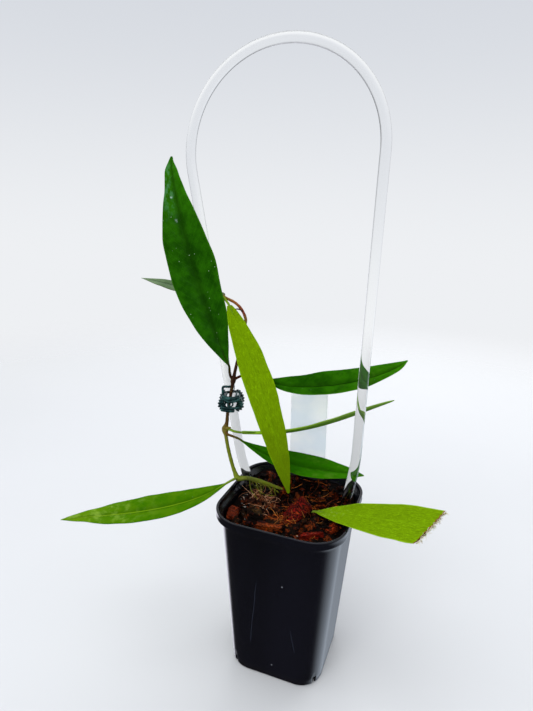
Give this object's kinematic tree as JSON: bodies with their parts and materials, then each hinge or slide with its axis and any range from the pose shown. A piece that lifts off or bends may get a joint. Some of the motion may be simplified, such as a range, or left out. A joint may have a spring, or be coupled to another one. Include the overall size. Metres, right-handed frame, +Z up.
{
  "type": "potted hoya plant",
  "caption": "Young climbing house plant with long pointed leaves in a square black nursery pot, tied by a clip to a clear bent trellis rod, with a plain plant tag.",
  "frame": {"origin": "centre of the pot's underside", "axes": "+Z up; +X towards the right leg of the trellis rod; -Y towards the side the rod leans away from"},
  "size_m": [0.1954, 0.0867, 0.3277],
  "materials": {
    "pot_plastic": "glossy",
    "mix": "rough",
    "bark": "rough",
    "clear_rod": "polished",
    "stem": "satin",
    "clip_plastic": "satin",
    "tag_plastic": "glossy",
    "leaf_dark": "satin",
    "leaf_mid": "satin",
    "leaf_pale": "matte"
  },
  "bodies": {
    "root": {"pot": "pot_plastic", "growing_mix": "mix", "trellis_rod": "clear_rod", "vine_stem": "stem", "stem_clip": "clip_plastic", "plant_tag": "tag_plastic", "leaf_tall_left": "leaf_dark", "leaf_high_right": "leaf_dark", "leaf_low_right": "leaf_dark", "leaf_low_left": "leaf_mid", "leaf_edge_on": "leaf_mid", "leaf_far_back": "leaf_mid", "leaf_hanging": "leaf_pale", "leaf_cut": "leaf_pale", "bark_chip_01": "bark", "bark_chip_02": "bark", "bark_chip_03": "bark", "bark_chip_04": "bark", "bark_chip_05": "bark", "bark_chip_06": "bark", "bark_chip_07": "bark", "bark_chip_08": "bark", "bark_chip_09": "bark", "bark_chip_10": "bark"}
  },
  "joints": []
}
